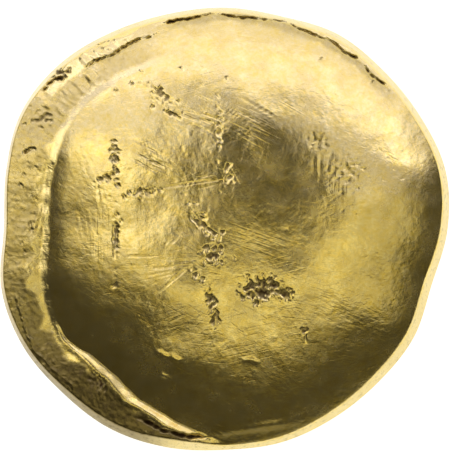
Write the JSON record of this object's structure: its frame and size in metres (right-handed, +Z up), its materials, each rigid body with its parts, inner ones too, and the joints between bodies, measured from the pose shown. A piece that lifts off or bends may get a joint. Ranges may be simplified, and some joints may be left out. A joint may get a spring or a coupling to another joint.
{
  "type": "stater coin",
  "caption": "Hand-struck gold coin with a plain bulging face, a raised crescent ledge at one side and a shallow hollow back, lying on its rim.",
  "frame": {"origin": "on the surface that the coin lies on, under the middle of its box", "axes": "+Z up through the bulging face, +X to the right and +Y to the top as the coin is seen from above"},
  "size_m": [0.017, 0.0168, 0.0033],
  "materials": {
    "gold": "worn gold with a satin sheen, fine scratches, small pits and reddish-brown dirt in the pits and seams"
  },
  "bodies": {
    "root": {"stater_coin": "gold"}
  },
  "joints": []
}
